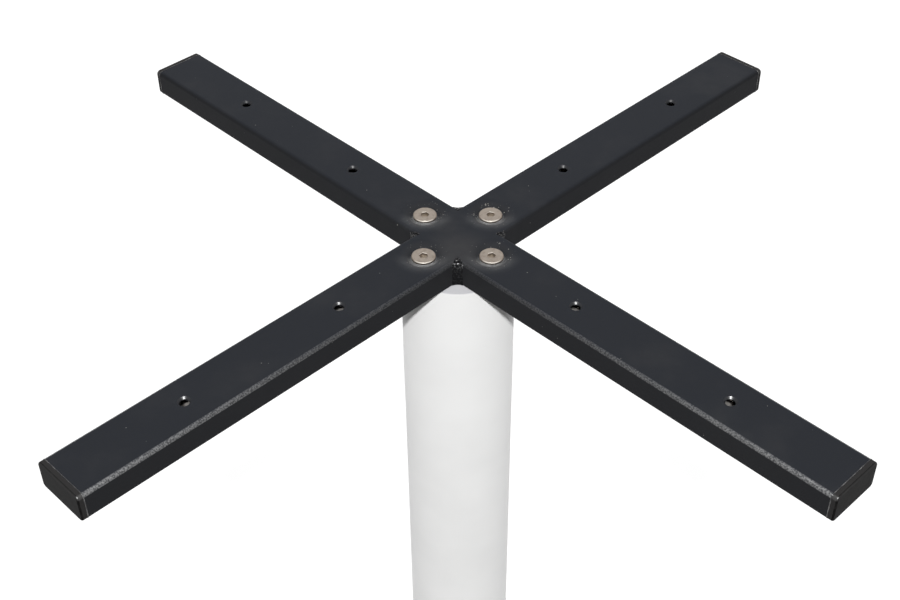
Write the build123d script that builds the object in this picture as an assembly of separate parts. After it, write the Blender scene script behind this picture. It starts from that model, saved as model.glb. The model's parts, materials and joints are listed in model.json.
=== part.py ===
from build123d import *
import os
from math import sqrt

# Disc table base: a black X of rectangular steel tube on a round white column and a steel disc.
# Millimetres, +Z up. The origin is on the floor, under the column's axis.
# The arms lie on the diagonals, and the front of the base faces -Y.

# Main sizes
overall_height = 720
disc_diameter = 450
disc_thickness = 8
disc_upper_edge = 3
disc_lower_edge = 1
column_diameter = 78
column_wall = 3
plate_thickness = 10
plate_rim_ease = 0.3

# Rectangular tube of the X
arm_reach = 312
arm_width = 40
arm_height = 20
arm_wall = 2
arm_corner_radius = 3

# Holes for fastening the tabletop, along each arm from the centre
tabletop_hole_places = [105, 225]
tabletop_hole_diameter = 6
tabletop_hole_ease = 1.2

# Flat-headed M8 screws that hold the X on the column
arm_screw_place = 31.5
screw_diameter = 8
screw_hole_diameter = 9
arm_screw_head = 16
arm_screw_head_height = 2.3
arm_screw_head_ease = 0.5
arm_screw_length = 30
screw_point = 1
socket_across_flats = 5
socket_depth = 3.2
socket_mouth = 0.3

# Pressed dimple in the arm's top wall, which sinks each of these heads
dimple_depth = 3
dimple_seat_radius = 9.4
dimple_radius = 17

# Fillet weld in each inner corner of the X
weld_size = 4

# Plastic plug in each arm end
cap_flange = 4
cap_edge = 1.2
plug_length = 18
plug_wall = 2
plug_clearance = 1
rib_count = 3
rib_width = 1.2

# Countersunk M8 screws up through the disc
foot_screw_place = 25
foot_screw_head = 16
foot_screw_head_land = 0.4
foot_screw_length = 16

# Glides under the disc
glide_count = 6
glide_diameter = 24
glide_height = 3
glide_place = 205
glide_edge = 1

# Heights and lengths that follow from the sizes above
disc_top = glide_height + disc_thickness
arm_bottom = overall_height - arm_height
column_tube_bottom = disc_top + plate_thickness
column_tube_top = arm_bottom - plate_thickness
tube_end = arm_reach - cap_flange
arm_side = arm_width / 2
arm_angles = {"front_right": -45, "back_right": 45, "back_left": 135, "front_left": 225}
corner_angles = {"right": 0, "back": 90, "left": 180, "front": 270}


def polar(radius, angle):
    """Location at a radius and an angle about the column's axis."""
    return Rot(0, 0, angle) * Pos(radius, 0, 0)


def disc(diameter, bottom, top):
    """Upright cylinder on the Z axis between two heights."""
    return Pos(0, 0, (bottom + top) / 2) * Cylinder(diameter / 2, top - bottom)


def cone(bottom_diameter, top_diameter, bottom, top):
    """Upright cone on the Z axis between two heights."""
    return Pos(0, 0, (bottom + top) / 2) * Cone(bottom_diameter / 2, top_diameter / 2, top - bottom)


def tube_outline(inset):
    """Outline of the rectangular tube, drawn in by inset from its outside."""
    return RectangleRounded(arm_width - 2 * inset, arm_height - 2 * inset, arm_corner_radius - inset)


def along_arm(start, end, outline):
    """Carry an outline along +X from start to end, centred on the height of the X."""
    profile = Plane.YZ.offset(start) * outline
    return Pos(0, 0, arm_bottom + arm_height / 2) * extrude(profile, end - start)


def tabletop_hole():
    """Cutter on the Z axis for one tabletop hole: through both walls, eased at the top."""
    mouth = tabletop_hole_diameter + 2 * tabletop_hole_ease
    drill = disc(tabletop_hole_diameter, arm_bottom - 1, overall_height + 1)
    return drill + cone(tabletop_hole_diameter, mouth, overall_height - tabletop_hole_ease, overall_height)


def dimple_slope(drop):
    """Slope of the dimple's section, which leaves the arm's face smoothly and ends at the seat, lowered by drop."""
    return TangentArc((dimple_radius, -drop), (dimple_seat_radius, -dimple_depth - drop), tangent=(-1, 0))


def dimple_wall():
    """The arm's top wall where it is pressed down round a screw hole, with the arm's face at z = 0."""
    hole = screw_hole_diameter / 2
    with BuildSketch(Plane.XZ) as section:
        with BuildLine():
            add(dimple_slope(0))
            add(dimple_slope(arm_wall))
            Line((dimple_radius, 0), (dimple_radius, -arm_wall))
            Line((dimple_seat_radius, -dimple_depth), (hole, -dimple_depth))
            Line((hole, -dimple_depth), (hole, -dimple_depth - arm_wall))
            Line((hole, -dimple_depth - arm_wall), (dimple_seat_radius, -dimple_depth - arm_wall))
        make_face()
    return revolve(section.sketch, Axis.Z)


def arm():
    """Hollow tube along +X, its inner end cut to a right-angled point that meets the other three arms."""
    tube = along_arm(0, tube_end, tube_outline(0) - tube_outline(arm_wall))
    mitre = make_face(Polyline((0, 0), (tube_end, -tube_end), (tube_end, tube_end), close=True))
    tube &= extrude(mitre, overall_height)
    for place in tabletop_hole_places:
        tube -= Pos(place, 0) * tabletop_hole()
    screw_axis = Pos(arm_screw_place, 0)
    tube -= screw_axis * disc(screw_hole_diameter, arm_bottom - 1, arm_bottom + 2 * arm_wall)
    tube -= screw_axis * disc(2 * dimple_radius, overall_height - 2 * arm_wall, overall_height + 1)
    return tube + screw_axis * Pos(0, 0, overall_height) * dimple_wall()


def corner_weld():
    """Fillet weld between an arm along +X and one along +Y, its ends rounded as the arms' edges are."""
    reach = arm_width
    plan = Pos(reach / 2, arm_side / 2) * Rectangle(reach, arm_side)
    plan += Pos(arm_side / 2, reach / 2) * Rectangle(arm_side, reach)
    corner = plan.vertices().sort_by_distance((arm_side, arm_side, 0))[0]
    block = Pos(0, 0, arm_bottom) * extrude(fillet(corner, weld_size), arm_height)
    inner_edges = block.edges().filter_by(lambda edge: min(edge.center().X, edge.center().Y) > arm_side - 1)
    block = fillet(inner_edges.filter_by(Axis.Z, reverse=True), arm_corner_radius)
    block -= along_arm(-reach, 2 * reach, tube_outline(0))
    return block - Rot(0, 0, 90) * along_arm(-reach, 2 * reach, tube_outline(0))


def hex_socket():
    """Cutter for a hex socket with an eased mouth, which is at z = 0."""
    hexagon = RegularPolygon(socket_across_flats / sqrt(3), 6)
    flats = Pos(0, 0, -socket_depth) * extrude(hexagon, socket_depth)
    return flats + Pos(0, 0, -socket_mouth) * extrude(hexagon, socket_mouth, taper=-45)


def shank(top, bottom):
    """Threaded part of a screw between two heights, with an eased point."""
    return chamfer(disc(screw_diameter, bottom, top).edges().sort_by(Axis.Z)[0], screw_point)


def arm_screw():
    """Flat-headed screw on the Z axis, its head's underside at z = 0."""
    head = disc(arm_screw_head, 0, arm_screw_head_height)
    head = chamfer(head.edges().sort_by(Axis.Z)[-1], arm_screw_head_ease)
    screw = head + shank(0, -arm_screw_length)
    return screw - Pos(0, 0, arm_screw_head_height) * hex_socket()


def countersink(diameter):
    """Form of a countersunk head down to a diameter, its face at z = 0."""
    depth = (foot_screw_head - diameter) / 2
    cap = disc(foot_screw_head, -foot_screw_head_land, 0)
    return cap + cone(diameter, foot_screw_head, -foot_screw_head_land - depth, -foot_screw_head_land)


def foot_screw():
    """Countersunk screw pointing up along the Z axis, its head's face at z = 0."""
    screw = countersink(screw_diameter) + shank(-foot_screw_head_land, -foot_screw_length)
    return Rot(180, 0, 0) * (screw - hex_socket())


def end_cap():
    """Plastic plug for the arm end along +X: a flange with an eased face and a hollow, ribbed plug."""
    flange = along_arm(tube_end, arm_reach, tube_outline(0))
    flange = fillet(flange.faces().sort_by(Axis.X)[-1].edges(), cap_edge)
    plug_start = tube_end - plug_length
    plug_inset = arm_wall + plug_clearance
    plug = Rectangle(arm_width - 2 * plug_inset, arm_height - 2 * plug_inset)
    hollow_inset = plug_inset + plug_wall
    hollow = Rectangle(arm_width - 2 * hollow_inset, arm_height - 2 * hollow_inset)
    cap = flange + along_arm(plug_start, tube_end, plug)
    rib_pitch = (plug_length - rib_width) / rib_count
    for number in range(rib_count):
        start = plug_start + rib_width + number * rib_pitch
        cap += along_arm(start, start + rib_width, tube_outline(arm_wall))
    return cap - along_arm(plug_start, tube_end, hollow)


def tapped_plate(bottom, top, screw_place):
    """Round plate with a tapped hole for each of four screws."""
    plate = disc(column_diameter, bottom, top)
    for angle in arm_angles.values():
        plate -= polar(screw_place, angle) * disc(screw_diameter, bottom - 1, top + 1)
    return plate


def column_top_plate():
    """Plate that closes the column's upper end, with an eased rim."""
    plate = disc(column_diameter, column_tube_top, arm_bottom)
    eased = chamfer(plate.edges().sort_by(Axis.Z)[-1], plate_rim_ease)
    return eased & tapped_plate(column_tube_top, arm_bottom, arm_screw_place)


def column_tube():
    """Round tube between the two plates."""
    bore = disc(column_diameter - 2 * column_wall, column_tube_bottom, column_tube_top)
    return disc(column_diameter, column_tube_bottom, column_tube_top) - bore


def base_disc():
    """Disc foot with a rounded upper edge, countersunk from below for the foot screws."""
    plate = disc(disc_diameter, glide_height, disc_top)
    plate = fillet(plate.edges().sort_by(Axis.Z)[-1], disc_upper_edge)
    plate = chamfer(plate.edges().sort_by(Axis.Z)[0], disc_lower_edge)
    hole = disc(screw_hole_diameter, glide_height - 1, disc_top + 1)
    hole += Pos(0, 0, glide_height) * Rot(180, 0, 0) * countersink(screw_hole_diameter)
    for angle in arm_angles.values():
        plate -= polar(foot_screw_place, angle) * hole
    return plate


def glide():
    """Round plastic glide with an eased lower edge."""
    pad = disc(glide_diameter, 0, glide_height)
    return chamfer(pad.edges().sort_by(Axis.Z)[0], glide_edge)


def write(name, shape):
    export_step(shape, f"parts/{name}.step")


os.makedirs("parts", exist_ok=True)

write("base_disc", base_disc())
write("column_foot_plate", tapped_plate(disc_top, column_tube_bottom, foot_screw_place))
write("column_tube", column_tube())
write("column_top_plate", column_top_plate())

for name, angle in corner_angles.items():
    write(f"{name}_weld", Rot(0, 0, angle - 45) * corner_weld())

screw_seat = overall_height - dimple_depth
for name, angle in arm_angles.items():
    write(f"{name}_arm", Rot(0, 0, angle) * arm())
    write(f"{name}_cap", Rot(0, 0, angle) * end_cap())
    write(f"{name}_screw", polar(arm_screw_place, angle) * Pos(0, 0, screw_seat) * arm_screw())
    write(f"{name}_foot_screw", polar(foot_screw_place, angle) * Pos(0, 0, glide_height) * foot_screw())

for number in range(glide_count):
    write(f"glide_{number + 1}", polar(glide_place, 360 / glide_count * number) * glide())
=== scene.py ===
import json
import math
import bpy
import numpy as np
from mathutils import Matrix, Vector

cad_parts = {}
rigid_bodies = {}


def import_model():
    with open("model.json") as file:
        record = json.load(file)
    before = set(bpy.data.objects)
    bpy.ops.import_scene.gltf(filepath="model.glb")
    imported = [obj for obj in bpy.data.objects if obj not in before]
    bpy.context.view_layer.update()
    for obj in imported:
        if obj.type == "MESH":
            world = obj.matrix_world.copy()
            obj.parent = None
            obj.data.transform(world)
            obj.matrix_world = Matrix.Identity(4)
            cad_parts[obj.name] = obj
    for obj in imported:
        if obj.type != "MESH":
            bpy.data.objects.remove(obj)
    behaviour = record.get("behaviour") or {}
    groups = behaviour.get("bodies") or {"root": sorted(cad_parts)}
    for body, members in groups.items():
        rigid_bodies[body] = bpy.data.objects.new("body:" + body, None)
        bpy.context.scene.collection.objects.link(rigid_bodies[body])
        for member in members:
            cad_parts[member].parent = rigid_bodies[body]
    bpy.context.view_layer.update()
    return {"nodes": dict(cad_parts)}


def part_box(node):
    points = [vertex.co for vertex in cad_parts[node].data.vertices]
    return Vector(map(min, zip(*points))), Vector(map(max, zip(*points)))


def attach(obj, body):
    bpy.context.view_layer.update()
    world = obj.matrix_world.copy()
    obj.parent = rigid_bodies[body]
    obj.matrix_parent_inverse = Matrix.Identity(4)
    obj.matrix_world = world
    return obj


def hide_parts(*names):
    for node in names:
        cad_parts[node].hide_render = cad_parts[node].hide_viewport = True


# Disc table base: black X of rectangular tube on a white column and disc.
# Metres, +Z up, in the frame of the solids. The front faces -Y.
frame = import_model()
nodes = frame["nodes"]
mm = 0.001


# Shader maths. A Signal is one output of a node, and arithmetic on it adds Math nodes.
class Signal:
    def __init__(self, graph, socket):
        self.graph = graph
        self.socket = socket

    def output(self, name):
        return Signal(self.graph, self.socket.node.outputs[name])

    def math(self, operation, first, second=0.0):
        return self.graph.add("ShaderNodeMath", {"operation": operation}, {0: first, 1: second})

    def __add__(self, other):
        return self.math("ADD", self, other)

    def __radd__(self, other):
        return self.math("ADD", other, self)

    def __sub__(self, other):
        return self.math("SUBTRACT", self, other)

    def __rsub__(self, other):
        return self.math("SUBTRACT", other, self)

    def __mul__(self, other):
        return self.math("MULTIPLY", self, other)

    def __rmul__(self, other):
        return self.math("MULTIPLY", other, self)

    def __truediv__(self, other):
        return self.math("DIVIDE", self, other)

    def __rtruediv__(self, other):
        return self.math("DIVIDE", other, self)

    def __abs__(self):
        return self.math("ABSOLUTE", self)

    def sine(self):
        return self.math("SINE", self)

    def root(self):
        return self.math("SQRT", self)

    def least(self, other):
        return self.math("MINIMUM", self, other)

    def most(self, other):
        return self.math("MAXIMUM", self, other)

    # 0 below low, 1 above high, and a smooth step between them
    def rise(self, low, high):
        sockets = {"Value": self, "From Min": low, "From Max": high}
        return self.graph.add("ShaderNodeMapRange", {"interpolation_type": "SMOOTHSTEP"}, sockets)

    # The other way round: 1 below low and 0 above high
    def fall(self, low, high):
        return 1 - self.rise(low, high)


# The nodes of one material or world
class Graph:
    def __init__(self, tree):
        self.tree = tree
        tree.nodes.clear()

    # Every node comes from here: its type, then its settings, then the values or links of its sockets
    def add(self, kind, settings=None, sockets=None, output=0):
        node = self.tree.nodes.new(kind)
        for key, value in (settings or {}).items():
            setattr(node, key, value)
        for key, value in (sockets or {}).items():
            if isinstance(value, Signal):
                self.tree.links.new(value.socket, node.inputs[key])
            elif node.inputs[key].type == "RGBA":
                node.inputs[key].default_value = (*value, 1.0)
            else:
                node.inputs[key].default_value = value
        return Signal(self, node.outputs[output]) if node.outputs else None

    # Colour between two colours
    def blendColour(self, factor, first, second):
        return self.add("ShaderNodeMix", {"data_type": "RGBA"}, {0: factor, 6: first, 7: second}, 2)

    # Object coordinates, in metres
    def place(self):
        return self.add("ShaderNodeTexCoord", output="Object")

    # The three coordinates in millimetres
    def millimetres(self):
        scaled = self.add("ShaderNodeVectorMath", {"operation": "SCALE"}, {0: self.place(), "Scale": 1 / mm})
        parts = self.add("ShaderNodeSeparateXYZ", {}, {0: scaled})
        return parts, parts.output("Y"), parts.output("Z")

    # How far the surface looks along an axis: 1 straight along it, 0 square to it
    def facing(self, axis="Z"):
        normal = self.add("ShaderNodeNewGeometry", output="Normal")
        return self.add("ShaderNodeSeparateXYZ", {}, {0: normal}, axis)

    # Cloudy noise from 0 to 1, with features of about a size in millimetres
    def noise(self, size, detail=2.0, rough=0.5):
        sockets = {"Vector": self.place(), "Scale": 1 / (size * mm), "Detail": detail, "Roughness": rough}
        return self.add("ShaderNodeTexNoise", {}, sockets)

    # Round specks with soft rims, of up to a radius, in a share of cells of a width, in millimetres
    def specks(self, width, radius, share):
        cell = self.add("ShaderNodeTexVoronoi", {}, {"Vector": self.place(), "Scale": 1 / (width * mm)})
        luck = self.add("ShaderNodeSeparateColor", {}, {0: cell.output("Color")})
        size = luck.output("Green") * radius + 0.001  # never quite 0
        return (cell * width / size).fall(0.6, 1) * luck.rise(1 - share, 1.01 - share)

    # Bumps of a height in millimetres, from a signal between 0 and 1
    def bump(self, height, millimetresHigh, over=None):
        sockets = {"Strength": 1.0, "Distance": millimetresHigh * mm, "Height": height}
        if over:
            sockets["Normal"] = over
        return self.add("ShaderNodeBump", {}, sockets)

    # Principled surface on the material output
    def surface(self, **sockets):
        named = {key.replace("_", " "): value for key, value in sockets.items()}
        shader = self.add("ShaderNodeBsdfPrincipled", {}, named)
        self.add("ShaderNodeOutputMaterial", {}, {"Surface": shader})


def newMaterial(name):
    material = bpy.data.materials.new(name)
    material.use_nodes = True
    return material, Graph(material.node_tree)


# Places read from the solids, and the section of the X's tube, all in millimetres
armNames = ["front_right", "back_right", "back_left", "front_left"]
armAngles = dict(zip(armNames, [-45, 45, 135, 225]))
cornerNames = ["right", "back", "left", "front"]
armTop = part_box("front_right_arm")[1].z / mm
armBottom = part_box("front_right_arm")[0].z / mm
armWidth = 40
armWall = 2
armCorner = 3


# How far along the front right arm a node's outermost corner lies
def reachAlongArm(node):
    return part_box(node)[1].x / mm * math.sqrt(2) - armWidth / 2


tubeEnd = reachAlongArm("front_right_arm")
capEnd = reachAlongArm("front_right_cap")


def middle(node):
    low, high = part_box(node)
    return (low + high) / (2 * mm)


screwPlaces = [middle(f"{name}_screw") for name in armNames]
screwReach = math.hypot(screwPlaces[0].x, screwPlaces[0].y)
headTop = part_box("front_right_screw")[1].z / mm
footScrewReach = math.hypot(*middle("front_right_foot_screw").xy)
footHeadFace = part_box("front_right_foot_screw")[0].z / mm
print("stage: frame loaded")


blackCoat = {
    "colour": (0.0205, 0.0212, 0.0235),
    "paintedTopLight": (0.0240, 0.0260, 0.0308),  # painted top light: paler on the faces that look up
    "hazeColour": (0.045, 0.045, 0.047),  # dusty, rubbed patches
    "hazeSize": 55,
    "centreSpan": (28, 70),  # dust and haze grow less between these radii
    "rubbedPlace": 19,  # how far in front of the column's axis a rubbed patch lies
    "rubbedSpan": (4, 30),  # and between which radii round there it fades out
    "dimpleSpan": (10.5, 17),  # radii round a screw between which the dust of its dimple fades out
    # Painted highlight on the front side of each screw, a glint by its head and a wider reflection: rings
    # with the two radii that each fades out between, and its strength
    "paintedHighlightColour": (0.26, 0.26, 0.26),
    "paintedHighlightRings": [(8.2, 11.8, 0.85), (9, 22, 0.16)],
    "specks": (4.5, 0.45, 0.16),  # width of a cell, largest radius, and share of the cells with one
    "dimpleSpecks": (1.4, 0.60, 0.42),
    "dustColour": (0.42, 0.41, 0.38),
    "dustSweep": 30,  # dimple dust grows from this far left of the column's axis to as far right
    "roughness": 0.40,
    "specular": 0.02,
    "edgeGloss": 0.85,  # weight of the glossy coat on the tube's rounded edges
    "glossSpan": (-40, 250),  # it grows between these distances in front of the column's axis
    "mouthGloss": 0.15,  # weight of the glossy coat round the tabletop holes
    "mouthReach": 6,
    "glossRoughness": 0.36,
    "glossRefraction": 2.0,
    "peelSize": 1.2,
    "peelHeight": 0.065,
    "grainSize": 0.35,
    "grainHeight": 0.010,
    "steelColour": (0.46, 0.44, 0.42),  # uncoated steel inside the tubes
}


# Distance from the column's axis, in millimetres
def radiusFrom(x, y):
    return (x * x + y * y).root()


# Distance from the middle line of the nearest arm, in millimetres
def acrossArm(x, y):
    return abs(x + y).least(abs(x - y)) / math.sqrt(2)


# Distance from the axis of the nearest screw, in millimetres. The screws lie on the diagonals, at a reach
# from the column's axis.
def fromNearestScrew(x, y, reach):
    side = reach / math.sqrt(2)
    return radiusFrom(abs(x) - side, abs(y) - side)


# 1 on the uncoated inside of the tubes, up to just below the seats of the dimples, and 0 elsewhere. At the
# sides and the floor it changes halfway into the wall.
def insideTubes(x, y, z):
    floor = armBottom + armWall / 2
    roof = armTop - 3.3
    side = armWidth / 2 - armWall / 2
    height = z.rise(floor - 0.1, floor + 0.1) * z.fall(roof - 0.1, roof + 0.1)
    return height * acrossArm(x, y).fall(side - 0.1, side + 0.1)


# Haze on the X: clouds of it, strongest round the centre, a rubbed patch there, and in the dimples
def hazeOnArms(graph, x, y, nearCentre, nearScrew):
    v = blackCoat
    clouds = graph.noise(v["hazeSize"], 4, 0.6).rise(0.45, 0.75) * (0.3 + nearCentre * 0.5)
    rubbed = radiusFrom(x, y + v["rubbedPlace"]).fall(*v["rubbedSpan"])
    patchy = rubbed * (0.55 + graph.noise(6, 3) * 0.5)
    return clouds.most(patchy).most(nearScrew * 0.45)


# Single specks of dust, stronger round the centre, and finer ones in the dimples
def dustOnArms(graph, x, nearCentre, nearScrew):
    v = blackCoat
    swept = x.rise(-v["dustSweep"], v["dustSweep"]) * 0.6 + 0.4
    coarse = graph.specks(*v["specks"]) * (0.45 + nearCentre * 0.55)
    return coarse.most(graph.specks(*v["dimpleSpecks"]) * nearScrew * swept)


# Painted highlight on the front side of each screw: a strong ring and a faint, wide one
def paintedHighlightRings(graph, y, fromScrew):
    inFront = y.math("SIGN", y) * screwReach / math.sqrt(2) - y
    rings = sum(fromScrew.fall(low, high) * strength for low, high, strength in blackCoat["paintedHighlightRings"])
    return inFront.rise(-2, 9) * rings * (0.3 + graph.noise(5, 3) * 1.4)


# Weight of the glossy coat: grainy on the tube's rounded edges, smooth on the mouths of the tabletop holes
def glossOnArms(graph, x, y, fromScrew):
    v = blackCoat
    facing = graph.facing()
    across = acrossArm(x, y)
    sloped = facing.fall(0.93, 0.99)
    edgeStart = armWidth / 2 - armCorner
    edges = facing.rise(0.1, 0.3) * sloped * across.rise(edgeStart - 0.5, edgeStart)
    grains = 0.35 + graph.noise(0.9, 2).rise(0.35, 0.65) * 1.3
    edges = edges * (0 - y).rise(*v["glossSpan"]) * grains
    mouths = facing.rise(0.3, 0.5) * sloped * across.fall(v["mouthReach"] - 1, v["mouthReach"])
    dimpleEnd = v["dimpleSpan"][1]
    mouths = mouths * fromScrew.rise(dimpleEnd, dimpleEnd + 0.5)
    return (edges * v["edgeGloss"]).most(mouths * v["mouthGloss"])


def blackCoatMaterial():
    v = blackCoat
    material, graph = newMaterial("blackPowderCoat")
    x, y, z = graph.millimetres()
    bare = insideTubes(x, y, z)
    nearCentre = radiusFrom(x, y).fall(*v["centreSpan"])
    fromScrew = fromNearestScrew(x, y, screwReach)
    nearScrew = fromScrew.fall(*v["dimpleSpan"])
    haze = hazeOnArms(graph, x, y, nearCentre, nearScrew)
    upper = graph.facing().rise(0.55, 0.95)
    # the faces that look up get painted light from above
    coat = graph.blendColour(upper, v["colour"], v["paintedTopLight"])
    coat = graph.blendColour(haze * (0.3 + upper * 0.7), coat, v["hazeColour"])
    # painted highlight on the front side of each screw
    coat = graph.blendColour(paintedHighlightRings(graph, y, fromScrew), coat, v["paintedHighlightColour"])
    coat = graph.blendColour(dustOnArms(graph, x, nearCentre, nearScrew) * 0.8, coat, v["dustColour"])
    colour = graph.blendColour(bare, coat, v["steelColour"])
    peel = graph.bump(graph.noise(v["peelSize"], 3, 0.55), v["peelHeight"])
    grain = graph.bump(graph.noise(v["grainSize"], 2), v["grainHeight"], peel)
    rough = v["roughness"] + (graph.noise(14, 3) - 0.5) * 0.12 + haze * 0.08
    graph.surface(
        Base_Color=colour, Metallic=bare * 0.7, Roughness=rough, Normal=grain,
        Specular_IOR_Level=v["specular"], Coat_Weight=glossOnArms(graph, x, y, fromScrew),
        Coat_Roughness=v["glossRoughness"], Coat_IOR=v["glossRefraction"],
    )
    return material


whiteCoat = {
    "colour": (0.83, 0.83, 0.825),
    "shade": (0.79, 0.79, 0.785),
    "paintedShadeUnderArms": (0.60, 0.60, 0.62),  # painted shade on the column's upper end, under the arms
    "fleck": (0.45, 0.44, 0.41),  # a few small marks
    "flecks": (30, 0.35, 0.12),
    "chalk": 0.45,  # roughness of the matte reflection
    "roughness": 0.36,
    "specular": 0.12,
    "peelSize": 2.4,
    "peelHeight": 0.02,
}


def whiteCoatMaterial():
    v = whiteCoat
    material, graph = newMaterial("whitePowderCoat")
    cloudy = graph.noise(90, 3, 0.6)
    colour = graph.blendColour(cloudy.rise(0.35, 0.7), v["colour"], v["shade"])
    colour = graph.blendColour(graph.specks(*v["flecks"]) * 0.5, colour, v["fleck"])
    z = graph.millimetres()[2]
    # painted shade on the top face of the column, under the arms
    shadeUnderArms = graph.facing() * z.rise(armBottom - 0.5, armBottom - 0.2)
    colour = graph.blendColour(shadeUnderArms, colour, v["paintedShadeUnderArms"])
    peel = graph.bump(graph.noise(v["peelSize"], 3, 0.5), v["peelHeight"])
    rough = v["roughness"] + (cloudy - 0.5) * 0.1
    graph.surface(
        Base_Color=colour, Roughness=rough, Normal=peel, Diffuse_Roughness=v["chalk"],
        Specular_IOR_Level=v["specular"],
    )
    return material


nickel = {
    "colour": (0.54, 0.475, 0.41),
    "stain": (0.36, 0.295, 0.245),
    "fleck": (0.25, 0.20, 0.16),
    "flecks": (0.9, 0.16, 0.4),
    "roughness": 0.48,
    "ringPitch": 0.75,  # millimetres between turned rings
    "ringHeight": 0.012,
    "pitHeight": 0.005,
    "socketReach": 3.1,
    "dirtAndShade": (0.12, 0.085, 0.065),  # dirt and painted shade on the upper part of the socket's sides
    "dirtAndShadeDepth": (0.25, 0.5),  # depths between which the dirt and painted shade begin
    "highlightDepth": (0.9, 1.5),  # and between which it gives way to a painted highlight
    "bright": (0.85, 0.80, 0.72),  # painted highlight deep in the socket and on the front of a head's chamfer
}


# Turned nickel-plated steel; the rings run round the axis of the nearest screw. The head's face is at height
# top, and its socket goes into the head along inward, 1 for downwards and -1 for upwards.
def nickelMaterial(name, reach, top, inward):
    v = nickel
    material, graph = newMaterial(name)
    x, y, z = graph.millimetres()
    radius = fromNearestScrew(x, y, reach)
    wobble = graph.noise(2.2, 3, 0.6) * 1.8
    rings = (radius * (2 * math.pi / v["ringPitch"]) + wobble).sine() * 0.5 + 0.5
    stains = graph.noise(3.2, 4, 0.65).rise(0.45, 0.75)
    depth = (top - z) * inward
    socket = radius.fall(v["socketReach"], v["socketReach"] + 0.1)
    deepHighlight = depth.rise(*v["highlightDepth"])
    dirtAndShade = depth.rise(*v["dirtAndShadeDepth"]) * (1 - deepHighlight)
    facing = graph.facing()
    rims = abs(facing).fall(0.8, 0.95)
    frontHighlight = (0 - graph.facing("Y")).rise(0.35, 0.65) * facing.rise(0.3, 0.6)
    colour = graph.blendColour(stains * 0.7, v["colour"], v["stain"])
    colour = graph.blendColour(graph.specks(*v["flecks"]) * 0.6, colour, v["fleck"])
    # dirt and painted shade high in the socket
    colour = graph.blendColour(dirtAndShade * socket, colour, v["dirtAndShade"])
    # painted highlight deep in the socket
    colour = graph.blendColour(deepHighlight * socket, colour, v["bright"])
    colour = graph.blendColour(rings * 0.4, colour, v["stain"])
    colour = graph.blendColour(rims * 0.5, colour, v["stain"])
    # painted highlight on the front of the head's chamfer
    colour = graph.blendColour(frontHighlight, colour, v["bright"])
    turned = graph.bump(rings, v["ringHeight"])
    pitted = graph.bump(graph.noise(0.5, 3, 0.6), v["pitHeight"], turned)
    rough = v["roughness"] + stains * 0.1 + (rings - 0.5) * 0.05
    graph.surface(Base_Color=colour, Metallic=1.0, Roughness=rough, Normal=pitted)
    return material


plastic = {
    "capColour": (0.031, 0.030, 0.030),
    "faceColours": [(0.006, 0.0058, 0.0058), (0.016, 0.015, 0.015)],  # the caps' end faces, and scuffs there
    "glideColour": (0.32, 0.32, 0.31),
    "roughness": 0.42,
    "specular": 0.012,
    "gloss": 0.2,  # weight of the coat on the bevels
    "glossRoughness": 0.4,
    "glossRefraction": 2.0,
    "grainSize": 0.5,
    "grainHeight": 0.02,
    "waveSize": 9,
    "waveHeight": 0.12,
}


# One colour all over, but for the end faces of the caps where their colours are given
def plasticMaterial(name, colour, faceColours=None):
    v = plastic
    material, graph = newMaterial(name)
    scuffs = graph.noise(7, 5, 0.7).rise(0.48, 0.78)
    if faceColours:
        x, y, _ = graph.millimetres()
        alongArm = (abs(x) + abs(y)) / math.sqrt(2)
        faces = graph.blendColour(scuffs, *faceColours)
        colour = graph.blendColour(alongArm.rise(capEnd - 0.6, capEnd - 0.05), colour, faces)
    facing = graph.facing()
    bevels = facing.rise(0.1, 0.3) * facing.fall(0.9, 0.97)
    grain = graph.bump(graph.noise(v["grainSize"], 3, 0.6), v["grainHeight"])
    waves = graph.bump(graph.noise(v["waveSize"], 1), v["waveHeight"], grain)
    graph.surface(
        Base_Color=colour, Roughness=v["roughness"] + scuffs * 0.1, Normal=waves,
        Specular_IOR_Level=v["specular"],
        Coat_Weight=bevels * v["gloss"], Coat_Roughness=v["glossRoughness"], Coat_IOR=v["glossRefraction"],
    )
    return material


weldCoat = {
    "colour": (0.0060, 0.0063, 0.0072),
    "roughness": 0.26,
    "specular": 0.05,
    "gloss": 0.8,  # weight of the coat on scattered specks, most at the top
    "glossRoughness": 0.3,
    "glossRefraction": 1.7,
    "pitSize": 1.0,
    "pitHeight": 0.13,
    "dustColour": (0.30, 0.30, 0.28),
    "specks": (1.6, 0.20, 0.12),
}


def weldMaterial():
    v = weldCoat
    material, graph = newMaterial("blackCoatOverWeld")
    pits = graph.bump(graph.noise(v["pitSize"], 3, 0.6), v["pitHeight"])
    colour = graph.blendColour(graph.specks(*v["specks"]) * 0.5, v["colour"], v["dustColour"])
    rough = v["roughness"] + graph.noise(1.5, 2) * 0.15
    z = graph.millimetres()[2]
    glints = graph.noise(1.3, 3, 0.6).rise(0.5, 0.62) * (z.rise(armTop - 9, armTop - 1) + 0.25)
    graph.surface(
        Base_Color=colour, Roughness=rough, Normal=pits, Specular_IOR_Level=v["specular"],
        Coat_Weight=glints * v["gloss"], Coat_Roughness=v["glossRoughness"], Coat_IOR=v["glossRefraction"],
    )
    return material


rubbedAndLitEdge = {
    "colour": (0.030, 0.030, 0.032),
    "wornAndLit": (0.13, 0.13, 0.13),
    "chipHeight": 0.03,
    "roughness": 0.3,
    "specular": 0.3,
}


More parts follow.
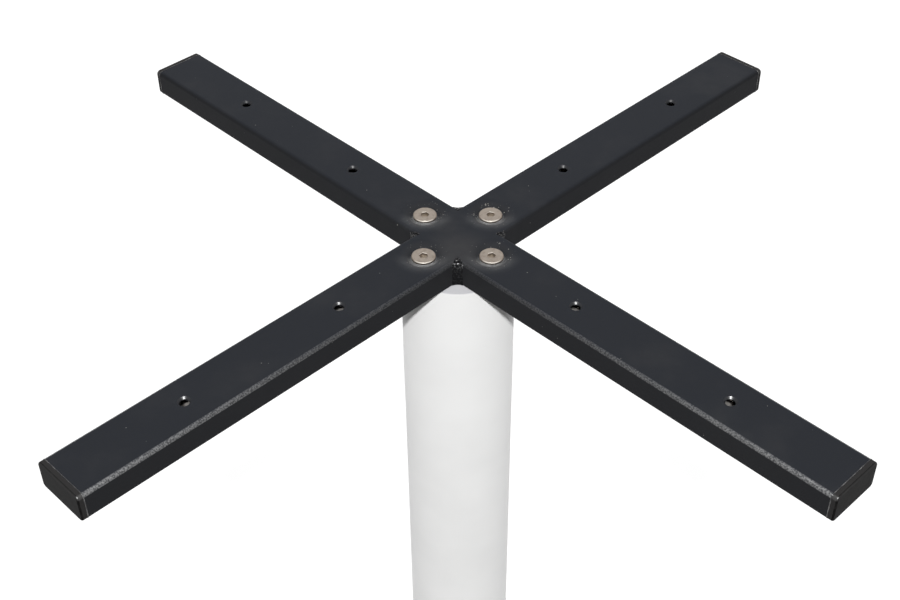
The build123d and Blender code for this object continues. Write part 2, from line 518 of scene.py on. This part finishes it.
# Paint on the tube's cut end, paler in patches: rubbed thin, and a painted highlight of the edge
def rubbedAndLitEdgeMaterial():
    v = rubbedAndLitEdge
    material, graph = newMaterial("rubbedBlackEdge")
    wornAndLit = graph.noise(5, 4, 0.6).rise(0.42, 0.66)
    # paler patches: rubbed paint and a painted highlight of the cut edge
    colour = graph.blendColour(wornAndLit, v["colour"], v["wornAndLit"])
    chips = graph.bump(graph.noise(0.8, 2), v["chipHeight"])
    rough = v["roughness"] + wornAndLit * 0.15
    graph.surface(Base_Color=colour, Roughness=rough, Normal=chips, Specular_IOR_Level=v["specular"])
    return material


materials = {
    "arm": blackCoatMaterial(),
    "rim": rubbedAndLitEdgeMaterial(),
    "column": whiteCoatMaterial(),
    "screw": nickelMaterial("nickelPlatedScrew", screwReach, headTop, 1),
    "footScrew": nickelMaterial("nickelPlatedFootScrew", footScrewReach, footHeadFace, -1),
    "cap": plasticMaterial("blackMouldedPlastic", plastic["capColour"], plastic["faceColours"]),
    "glide": plasticMaterial("greyMouldedPlastic", plastic["glideColour"]),
    "weld": weldMaterial(),
}


def materialFor(node):
    for ending in ["foot_screw", "screw", "arm", "cap", "weld"]:
        if node.endswith(ending):
            return materials["footScrew" if ending == "foot_screw" else ending]
    return materials["glide" if node.startswith("glide") else "column"]


for nodeName, node in nodes.items():
    node.data.materials.clear()
    node.data.materials.append(materialFor(nodeName))
print("stage: materials on the solids")


# A surface from a grid of points in millimetres, rows x columns x 3. Columns close on themselves.
# Rows close on themselves too where ring is true, and else each end row closes on a pole at its middle.
def surfacePiece(name, points, material, ring=False):
    rows, columns = points.shape[:2]
    index = np.arange(rows * columns).reshape(rows, columns)
    ahead = np.roll(index, -1, axis=0) if ring else index[1:]
    here = index if ring else index[:-1]
    quads = np.stack([here, np.roll(here, -1, axis=1), np.roll(ahead, -1, axis=1), ahead], axis=-1)
    faces = quads.reshape(-1, 4).tolist()
    vertices = points.reshape(-1, 3)
    if not ring:
        poles = np.stack([points[0].mean(axis=0), points[-1].mean(axis=0)])
        first = np.stack([index[0], np.full(columns, rows * columns), np.roll(index[0], -1)], axis=-1)
        last = np.stack([index[-1], np.roll(index[-1], -1), np.full(columns, rows * columns + 1)], axis=-1)
        faces += first.tolist() + last.tolist()
        vertices = np.concatenate([vertices, poles])
    mesh = bpy.data.meshes.new(name)
    mesh.from_pydata((vertices * mm).tolist(), [], faces)
    if signedVolume(mesh) < 0:
        mesh.flip_normals()
    mesh.polygons.foreach_set("use_smooth", np.ones(len(mesh.polygons), bool))
    mesh.update()
    piece = bpy.data.objects.new(name, mesh)
    bpy.context.scene.collection.objects.link(piece)
    mesh.materials.append(material)
    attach(piece, "root")
    return piece


# Volume inside a closed mesh: a sixth of the sum of each triangle's triple product
def signedVolume(mesh):
    mesh.calc_loop_triangles()
    corners = np.empty(len(mesh.loop_triangles) * 3, int)
    mesh.loop_triangles.foreach_get("vertices", corners)
    places = np.empty(len(mesh.vertices) * 3)
    mesh.vertices.foreach_get("co", places)
    a, b, c = places.reshape(-1, 3)[corners].reshape(-1, 3, 3).transpose(1, 0, 2)
    return np.einsum("ij,ij->i", a, np.cross(b, c)).sum() / 6


# Points turned about the column's axis by an angle in degrees
def turned(points, angle):
    c, s = math.cos(math.radians(angle)), math.sin(math.radians(angle))
    return points @ np.array([[c, s, 0], [-s, c, 0], [0, 0, 1]])


weldBead = {
    "leg": 4.9,  # millimetres along each arm's side
    "hollow": 0.55,  # how far the face is drawn towards the corner
    "backing": 3,  # how deep the bead's hidden back lies in the arms
    "inset": 0.1,  # how far each end stays inside the X
    "ripple": 0.06,
    "ripples": 9,
    "lump": 0.55,
    "lumps": 9,
    "endShare": 0.09,  # share of the length that each round end takes up
    "endSize": 0.45,  # how much of the profile is left at its tip
    "rows": 96,
    "columns": 40,
}


# How far the bead's face is pushed out. Along t, up the corner, and s, from one wall to the other: ripples
# (a sine along t, bent by s) and lumps (a sum of bell curves), both falling to 0 at the walls.
def weldSwelling(rng, t, s):
    v = weldBead
    out = v["ripple"] * np.sin(2 * math.pi * (t * v["ripples"] + 0.7 * np.sin(math.pi * s)))
    for _ in range(v["lumps"]):
        atT, atS, wide, tall = rng.uniform([0, 0.1, 0.03, 0.2], [1, 0.9, 0.09, 1.0])
        out = out + v["lump"] * tall * np.exp(-((t - atT) / wide) ** 2 - ((s - atS) / 0.22) ** 2)
    return out * np.sin(math.pi * s) ** 0.7


# A fillet bead up the corner between two arms, from the X's underside to its top. It carries a profile: a
# quadratic curve from one wall to the other, pushed out by its swelling, then a straight back inside the
# arms. At its ends the profile shrinks into the corner along a quarter circle.
def weldPoints(seed):
    v = weldBead
    rng = np.random.default_rng(seed)
    t = np.linspace(0, 1, v["rows"])[:, None]
    s = np.linspace(0, 1, v["columns"])[None, :]
    wall = armWidth / 2
    first = np.array([wall + v["leg"], wall])
    pull = np.full(2, wall + v["leg"] * (1 - v["hollow"]) / 2)
    last = np.array([wall, wall + v["leg"]])
    weights = [(1 - s) ** 2, 2 * s * (1 - s), s ** 2]
    face = sum(weight[..., None] * corner for weight, corner in zip(weights, [first, pull, last]))
    front = face + weldSwelling(rng, t, s)[..., None] / math.sqrt(2)
    inner = wall - v["backing"]
    back = np.array([[inner, wall + 1], [inner, inner], [wall + 1, inner]])
    back = np.broadcast_to(back, (v["rows"], 3, 2))
    plan = np.concatenate([front, back], axis=1)
    fromEnd = np.clip(np.minimum(t, 1 - t) / v["endShare"], 0, 1)
    quarterCircle = np.sqrt(1 - (1 - fromEnd) ** 2)[..., None]
    plan = inner + (plan - inner) * (v["endSize"] + (1 - v["endSize"]) * quarterCircle)
    height = armBottom + v["inset"] + t * (armTop - armBottom - 2 * v["inset"])
    height = np.broadcast_to(height, plan.shape[:2])
    return np.concatenate([plan, height[..., None]], axis=-1)


for number, name in enumerate(cornerNames):
    points = turned(weldPoints(11 + number), 90 * number - 45)
    bead = surfacePiece(f"{name}_weld_bead", points, materials["weld"])
    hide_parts(f"{name}_weld")
print("stage: weld beads")


# Angles once round a circle, in radians
def wholeTurn(count):
    return np.linspace(0, 2 * math.pi, count, endpoint=False)


seatLip = {
    "radius": 8.65,  # just outside the screw's head
    "thickness": 0.42,
    "uneven": 0.3,  # share by which the thickness varies
    "waver": 0.06,
    "drop": 2.3,  # below the arm's face, so beside the lower part of the head
    "rows": 160,
    "columns": 12,
}


# A lip of paint round each screw's head: a small circle carried round a large one. The large radius wavers
# by a sine, and the small one varies by a product of two sines.
def lipPoints(centre, seed):
    v = seatLip
    rng = np.random.default_rng(seed)
    u = wholeTurn(v["rows"])[:, None]
    w = wholeTurn(v["columns"])[None, :]
    swelling = np.sin(3 * u + rng.uniform(0, 6)) * np.sin(7 * u + rng.uniform(0, 6))
    thickness = v["thickness"] * (1 + v["uneven"] * swelling)
    radius = v["radius"] + v["waver"] * np.sin(5 * u + rng.uniform(0, 6)) + thickness * np.cos(w)
    x = centre.x + radius * np.cos(u)
    y = centre.y + radius * np.sin(u)
    z = armTop - v["drop"] + thickness * np.sin(w)
    return np.stack([x, y, z], axis=-1)


for number, name in enumerate(armNames):
    points = lipPoints(screwPlaces[number], 31 + number)
    surfacePiece(f"{name}_seat_lip", points, materials["arm"], ring=True)
print("stage: paint lips")


tubeRim = {
    "thickness": 0.30,
    "sink": 0.05,  # how deep its middle lies under the tube's outside
    "steps": 10,  # points in each round corner, and round the small circle
}


# The tube's cut edge beside its cap: a small circle carried round the tube's outline, a rectangle with
# round corners
def rimPoints():
    v = tubeRim
    corner = np.linspace(0, math.pi / 2, v["steps"])
    turns = np.concatenate([corner + quarter * math.pi / 2 for quarter in range(4)])[:, None]
    halfWide = np.repeat([1, -1, -1, 1], v["steps"])[:, None] * (armWidth / 2 - armCorner)
    halfHigh = np.repeat([1, 1, -1, -1], v["steps"])[:, None] * ((armTop - armBottom) / 2 - armCorner)
    w = wholeTurn(v["steps"])[None, :]
    reach = armCorner - v["sink"] + v["thickness"] * np.cos(w)
    across = halfWide + reach * np.cos(turns)
    up = halfHigh + reach * np.sin(turns)
    along = tubeEnd + v["thickness"] * np.sin(w) + 0 * across
    return np.stack([along, across, up + (armTop + armBottom) / 2], axis=-1)


for name, angle in armAngles.items():
    points = turned(rimPoints(), angle)
    surfacePiece(f"{name}_tube_rim", points, materials["rim"], ring=True)
print("stage: tube rims")


studio = {
    "floorSize": 14,
    "floorColour": (0.38, 0.38, 0.38),
    "floorGlow": 0.79,  # near the base; seen by the camera and in reflections only
    "glowSpan": (900, 2600),  # millimetres from the column's axis between which the glow rises to white
    "ambient": 0.08,
    "zenith": 0.55,  # how bright the backdrop is straight above, where 1 is white
    "horizon": 0.25,  # height in the backdrop up to which it is white
    "flash": {"azimuth": -0.5, "elevation": 44, "distance": 2.8, "size": 0.12, "watts": 81},
    "glint": {"azimuth": 0.4, "elevation": 44.2, "distance": 1.7, "size": 0.11, "watts": 118},
    "sheen": {"azimuth": 0, "elevation": 44, "distance": 2.8, "size": 0.12, "watts": 15},
    "back": {"azimuth": 180, "elevation": 30, "distance": 1.8, "size": 0.6, "watts": 25},
}


# Lamps that show only in reflections, and the name endings of the pieces that each one shows on
shownOn = {"glint": ("_arm", "_cap", "_bead", "_lip", "_rim"), "sheen": ("_screw",)}


# 1 for what the camera, mirrors and glass look at, and 0 for what lights other surfaces
def seenDirectly(graph):
    path = graph.add("ShaderNodeLightPath", output="Is Camera Ray")
    return path.most(path.output("Is Glossy Ray")).most(path.output("Is Transmission Ray"))


# White floor that takes faint shadows and fades into a white backdrop
def buildStage():
    v = studio
    bpy.ops.mesh.primitive_plane_add(size=v["floorSize"])
    floor = bpy.context.object
    floor.name = "floor"
    material, graph = newMaterial("floorPaper")
    matte = graph.add("ShaderNodeBsdfDiffuse", {}, {"Color": v["floorColour"]})
    x, y, _ = graph.millimetres()
    near = (v["floorGlow"],) * 3
    paper = graph.blendColour(radiusFrom(x, y).rise(*v["glowSpan"]), near, (1, 1, 1))
    glow = graph.add("ShaderNodeEmission", {}, {"Color": paper, "Strength": seenDirectly(graph)})
    both = graph.add("ShaderNodeAddShader", {}, {0: matte, 1: glow})
    graph.add("ShaderNodeOutputMaterial", {}, {"Surface": both})
    floor.data.materials.append(material)
    world = bpy.data.worlds.new("studio")
    bpy.context.scene.world = world
    world.use_nodes = True
    graph = Graph(world.node_tree)
    lighting = graph.add("ShaderNodeBackground", {}, {"Color": (1, 1, 1), "Strength": v["ambient"]})
    generated = graph.add("ShaderNodeTexCoord", output="Generated")
    direction = graph.add("ShaderNodeSeparateXYZ", {}, {0: generated})
    darker = direction.output("Z").rise(v["horizon"], 1.0) * (1 - v["zenith"])
    backdrop = graph.add("ShaderNodeBackground", {}, {"Color": (1, 1, 1), "Strength": 1 - darker})
    mixed = graph.add("ShaderNodeMixShader", {}, {0: seenDirectly(graph), 1: lighting, 2: backdrop})
    graph.add("ShaderNodeOutputWorld", {}, {"Surface": mixed})


# Direction from the X towards a place, from its azimuth off the front and its elevation
def towards(azimuth, elevation):
    a, e = math.radians(azimuth), math.radians(elevation)
    return Vector((math.sin(a) * math.cos(e), -math.cos(a) * math.cos(e), math.sin(e)))


def addLamp(name):
    v = studio[name]
    data = bpy.data.lights.new(name, "AREA")
    data.shape = "DISK"
    data.size = v["size"]
    data.energy = v["watts"]
    lamp = bpy.data.objects.new(name, data)
    away = towards(v["azimuth"], v["elevation"])
    lamp.location = Vector((0, 0, armTop * mm)) + away * v["distance"]
    lamp.rotation_euler = away.to_track_quat("Z", "Y").to_euler()
    lamp.visible_diffuse = name not in shownOn
    lamp.visible_glossy = name in shownOn  # the other lamps show in no reflection
    bpy.context.scene.collection.objects.link(lamp)
    return lamp


# Link a lamp to the pieces that it shows on
def limitLamp(lamp):
    receivers = bpy.data.collections.new(f"{lamp.name}Receivers")
    for thing in bpy.context.scene.objects:
        if thing.type == "MESH" and thing.name.endswith(shownOn[lamp.name]):
            receivers.objects.link(thing)
    lamp.light_linking.receiver_collection = receivers


view = {
    "aim": (-0.0046, -0.0682, 0.720),
    "azimuth": 0.76,
    "elevation": 40.44,
    "roll": -0.55,
    "distance": 0.9103,
    "lens": 57.78,
    "sensor": 36,
}


# Camera turned towards its aim, then rolled about its line of sight
def addCamera():
    v = view
    back = towards(v["azimuth"], v["elevation"])
    a, r = math.radians(v["azimuth"]), math.radians(v["roll"])
    right = Vector((math.cos(a), math.sin(a), 0))
    up = back.cross(right)
    rolledRight = right * math.cos(r) + up * math.sin(r)
    rolledUp = up * math.cos(r) - right * math.sin(r)
    data = bpy.data.cameras.new("camera")
    data.lens = v["lens"]
    data.sensor_width = v["sensor"]
    camera = bpy.data.objects.new("camera", data)
    turn = Matrix((rolledRight, rolledUp, back)).transposed()
    camera.matrix_world = Matrix.Translation(Vector(v["aim"]) + back * v["distance"]) @ turn.to_4x4()
    bpy.context.scene.collection.objects.link(camera)
    bpy.context.scene.camera = camera


buildStage()
for lampName in ["flash", "glint", "sheen", "back"]:
    lamp = addLamp(lampName)
    if lampName in shownOn:
        limitLamp(lamp)
addCamera()
bpy.context.scene.view_settings.view_transform = "Standard"
print("stage: studio and camera")
